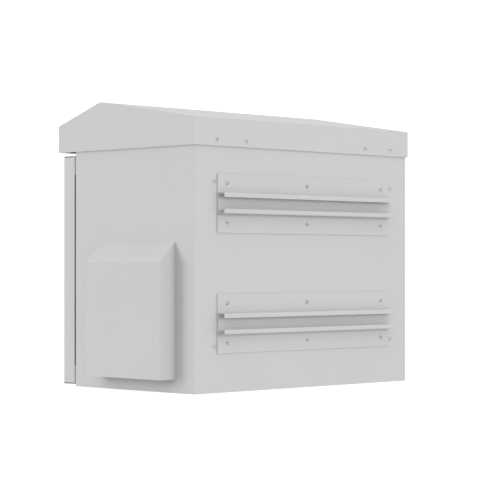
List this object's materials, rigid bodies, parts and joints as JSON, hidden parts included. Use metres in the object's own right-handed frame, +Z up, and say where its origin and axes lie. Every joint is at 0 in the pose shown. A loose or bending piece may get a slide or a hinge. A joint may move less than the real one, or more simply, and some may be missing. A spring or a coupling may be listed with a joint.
{
  "type": "roadside utility cabinet",
  "caption": "Box-shaped outdoor sheet-steel cabinet with a pitched roof, hinged front door with rod lock, side rain hoods and rear mounting channels for a wall or pole.",
  "frame": {"origin": "middle of the base, at the underside of the floor panel", "axes": "+X across the width towards the hinge side, +Y to the back with the mounting channels, +Z up; the door faces -Y"},
  "size_m": [0.906, 0.5745, 0.739],
  "materials": {
    "grey_paint": "light grey powder coat, fine texture",
    "zinc_screw": "bright zinc",
    "zinc_sheet": "galvanised",
    "dark_steel": "black zinc",
    "black_plastic": "moulded matt",
    "black_handle": "black coated die casting",
    "black_rubber": "matt",
    "filter_fleece": "fleece",
    "brass": "plain"
  },
  "bodies": {
    "cabinet": {"body_wrap": "grey_paint", "top_panel": "grey_paint", "floor_panel": "grey_paint", "roof_canopy": "grey_paint", "roof_saddle_left": "zinc_sheet", "roof_saddle_right": "zinc_sheet", "roof_screws": "zinc_screw", "roof_nuts": "zinc_screw", "upper_channel": "grey_paint", "lower_channel": "grey_paint", "upper_backing_plate": "grey_paint", "lower_backing_plate": "grey_paint", "upper_channel_screws": "zinc_screw", "lower_channel_screws": "zinc_screw", "channel_nuts": "zinc_screw", "mounting_plate": "zinc_sheet", "plate_bolts": "zinc_screw", "plate_spacers": "zinc_sheet", "plate_nuts": "zinc_screw", "intake_hood": "grey_paint", "exhaust_hood": "grey_paint", "intake_hood_screws": "zinc_screw", "exhaust_hood_screws": "zinc_screw", "intake_louvre": "zinc_sheet", "exhaust_louvre": "zinc_sheet", "filter_mat": "filter_fleece", "filter_frame": "black_plastic", "fan_housing": "black_plastic", "fan_guard": "dark_steel", "fan_screws": "zinc_screw", "gland_plate": "zinc_sheet", "gland_plate_screws": "zinc_screw", "cable_grommets": "black_rubber", "earth_bar": "brass", "earth_posts": "zinc_sheet", "earth_screws": "brass", "hinge_body_leaf": "dark_steel", "hinge_pin": "dark_steel"},
    "door": {"door_pan": "grey_paint", "door_gasket": "black_rubber", "hinge_door_leaf": "dark_steel", "lock_stiffener": "grey_paint", "hinge_stiffener": "grey_paint", "handle_rose": "black_handle", "gear_case": "zinc_sheet", "gear_cover": "zinc_sheet", "upper_rod_guide": "zinc_sheet", "lower_rod_guide": "zinc_sheet"},
    "handle": {"handle_lever": "black_handle", "key_insert": "zinc_screw", "spindle": "dark_steel", "pinion": "dark_steel"},
    "upper_lock_rod": {"upper_lock_rod": "zinc_sheet"},
    "lower_lock_rod": {"lower_lock_rod": "zinc_sheet"},
    "fan": {"fan_rotor": "black_plastic"}
  },
  "joints": [
    {"name": "door_hinge", "type": "hinge", "parent": "cabinet", "child": "door", "pos_m": [0.3979, -0.22775, 0.305], "axis": [0, 0, 1], "range_deg": [0, 120]},
    {"name": "handle_turn", "type": "hinge", "parent": "door", "child": "handle", "pos_m": [-0.328, -0.29, 0.305], "axis": [0, 1, 0], "range_deg": [0, 90]},
    {"name": "upper_rod_slide", "type": "slide", "parent": "door", "child": "upper_lock_rod", "axis": [0, 0, 1], "range_m": [0, 0.0158]},
    {"name": "lower_rod_slide", "type": "slide", "parent": "door", "child": "lower_lock_rod", "axis": [0, 0, -1], "range_m": [0, 0.0158]},
    {"name": "fan_spin", "type": "hinge", "parent": "cabinet", "child": "fan", "pos_m": [-0.37, 0.0185, 0.19], "axis": [1, 0, 0], "continuous": true}
  ],
  "couplings": [
    {"joint": "upper_rod_slide", "follows": "handle_turn", "m_per_rad": 0.01},
    {"joint": "lower_rod_slide", "follows": "handle_turn", "m_per_rad": 0.01}
  ]
}
